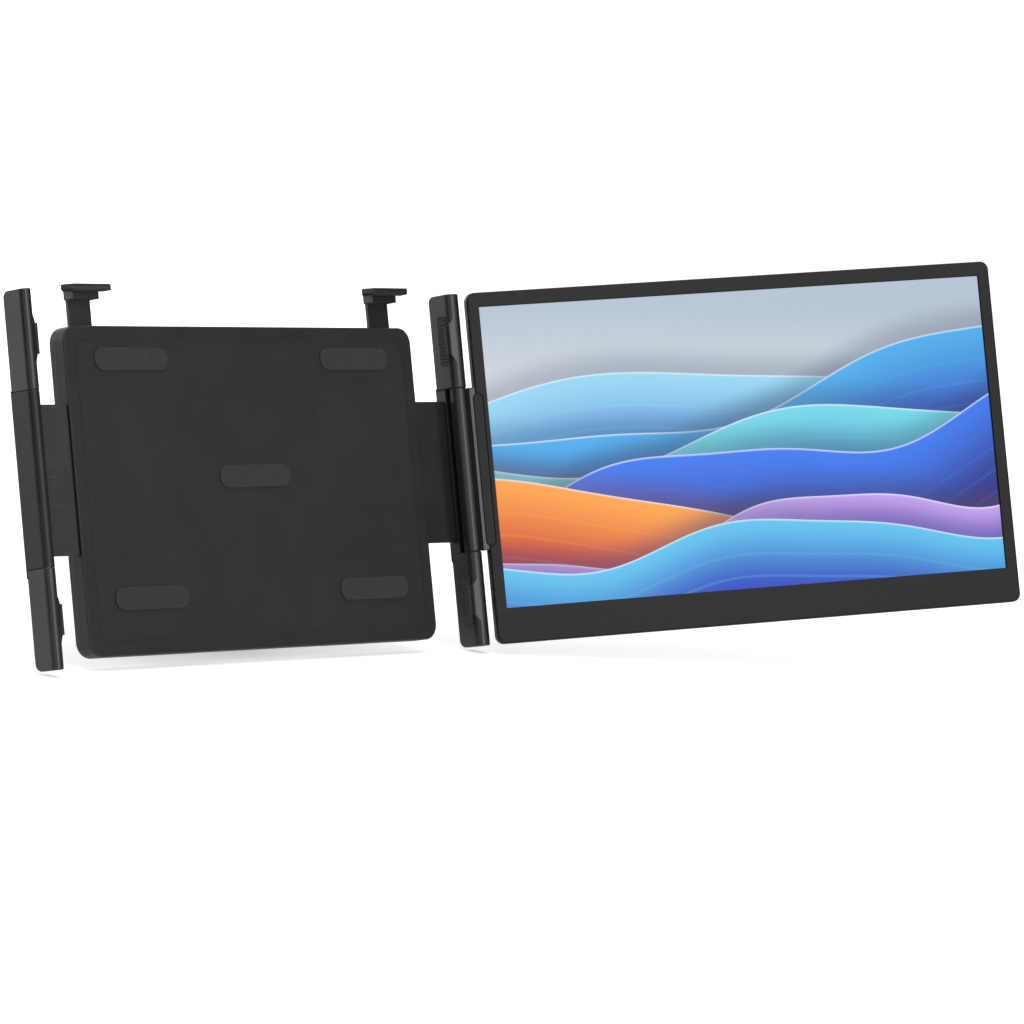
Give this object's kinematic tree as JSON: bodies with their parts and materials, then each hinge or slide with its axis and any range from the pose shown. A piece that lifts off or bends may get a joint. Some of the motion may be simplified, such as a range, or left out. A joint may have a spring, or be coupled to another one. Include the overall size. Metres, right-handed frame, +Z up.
{
  "type": "laptop screen extender",
  "caption": "Clamp-on second screen for a laptop: a leaning back panel with telescopic side bars, top clips and a rear leg, and a flat screen hinged on one bar.",
  "frame": {"origin": "middle of the face that the back of the laptop lid rests against, on the centre rubber strip", "axes": "+X to the right as the user sees it, +Y away from the user, +Z up; the bracket leans back 15.1 degrees about X as in use"},
  "size_m": [0.6892, 0.2958, 0.2695],
  "materials": {
    "shell_black": "fine matt texture, near black",
    "bar_black": "satin anodised black",
    "screen_black": "fine matt black",
    "rubber_black": "soft matt rubber",
    "arm_metal": "dark anodised sheet",
    "steel": "plain steel",
    "black_screw": "blackened screws",
    "slide_plastic": "grey acetal",
    "display": "matt display front, lit picture",
    "light_guide": "white light guide and film",
    "circuit_board": "green solder mask",
    "chips": "moulded packages",
    "socket_metal": "plated shells",
    "bush_bronze": "sintered bronze",
    "key_black": "satin black"
  },
  "bodies": {
    "bracket": {"panel_front_shell": "shell_black", "panel_rear_shell": "shell_black", "lid_strips": "rubber_black", "panel_screws": "black_screw", "arm_guides": "slide_plastic", "arm_retainer": "steel", "retainer_screws": "steel", "slide_brakes": "slide_plastic", "brake_springs": "steel", "clip_channels": "slide_plastic", "leg_pin": "steel"},
    "left_side": {"left_bar": "bar_black", "left_bar_cover": "bar_black", "left_bar_pin": "steel", "left_arm": "arm_metal", "left_arm_screws": "black_screw", "left_grip_pads": "rubber_black"},
    "right_side": {"right_bar": "bar_black", "right_arm": "arm_metal", "right_arm_screws": "black_screw", "right_grip_pads": "rubber_black", "hinge_pin": "steel", "hinge_washers": "slide_plastic"},
    "left_clip": {"left_clip_hook": "shell_black", "left_clip_pad": "rubber_black"},
    "right_clip": {"right_clip_hook": "shell_black", "right_clip_pad": "rubber_black"},
    "rear_leg": {"leg": "shell_black", "leg_foot": "rubber_black"},
    "screen": {"hinge_knuckle": "bar_black", "hinge_bushes": "bush_bronze", "hinge_cover": "screen_black", "flap_screws": "steel", "front_bezel": "screen_black", "rear_cover": "screen_black", "case_screws": "black_screw", "lcd_glass": "display", "backlight": "light_guide", "main_board": "circuit_board", "board_chips": "chips", "usb_c_ports": "socket_metal", "mini_hdmi_port": "socket_metal", "key_switches": "chips", "key_board": "circuit_board"},
    "power_key": {"power_button": "key_black"},
    "plus_key": {"plus_button": "key_black"},
    "minus_key": {"minus_button": "key_black"}
  },
  "joints": [
    {"name": "left_arm_slide", "type": "slide", "parent": "bracket", "child": "left_side", "axis": [-1, 0, 0], "range_m": [-0.0289, 0.0211]},
    {"name": "right_arm_slide", "type": "slide", "parent": "bracket", "child": "right_side", "axis": [1, 0, 0], "range_m": [-0.025, 0.025]},
    {"name": "screen_hinge", "type": "hinge", "parent": "right_side", "child": "screen", "pos_m": [0.1799, -0.00579, 0.00156], "axis": [0, -0.2603, -0.9655], "range_deg": [-31, 144]},
    {"name": "left_clip_slide", "type": "slide", "parent": "bracket", "child": "left_clip", "axis": [0, 0.2603, 0.9655], "range_m": [-0.014, 0.02]},
    {"name": "right_clip_slide", "type": "slide", "parent": "bracket", "child": "right_clip", "axis": [0, 0.2603, 0.9655], "range_m": [-0.014, 0.02]},
    {"name": "leg_hinge", "type": "hinge", "parent": "bracket", "child": "rear_leg", "pos_m": [0, 0.01691, 0.01201], "axis": [1, 0, 0], "range_deg": [-42.2, 32.8]},
    {"name": "power_press", "type": "slide", "parent": "screen", "child": "power_key", "axis": [-0.8682, 0.4791, -0.1292], "range_m": [0, 0.0004], "stiffness_N_per_m": 2000, "springref_m": -0.0002},
    {"name": "plus_press", "type": "slide", "parent": "screen", "child": "plus_key", "axis": [-0.8682, 0.4791, -0.1292], "range_m": [0, 0.0004], "stiffness_N_per_m": 2000, "springref_m": -0.0002},
    {"name": "minus_press", "type": "slide", "parent": "screen", "child": "minus_key", "axis": [-0.8682, 0.4791, -0.1292], "range_m": [0, 0.0004], "stiffness_N_per_m": 2000, "springref_m": -0.0002}
  ]
}
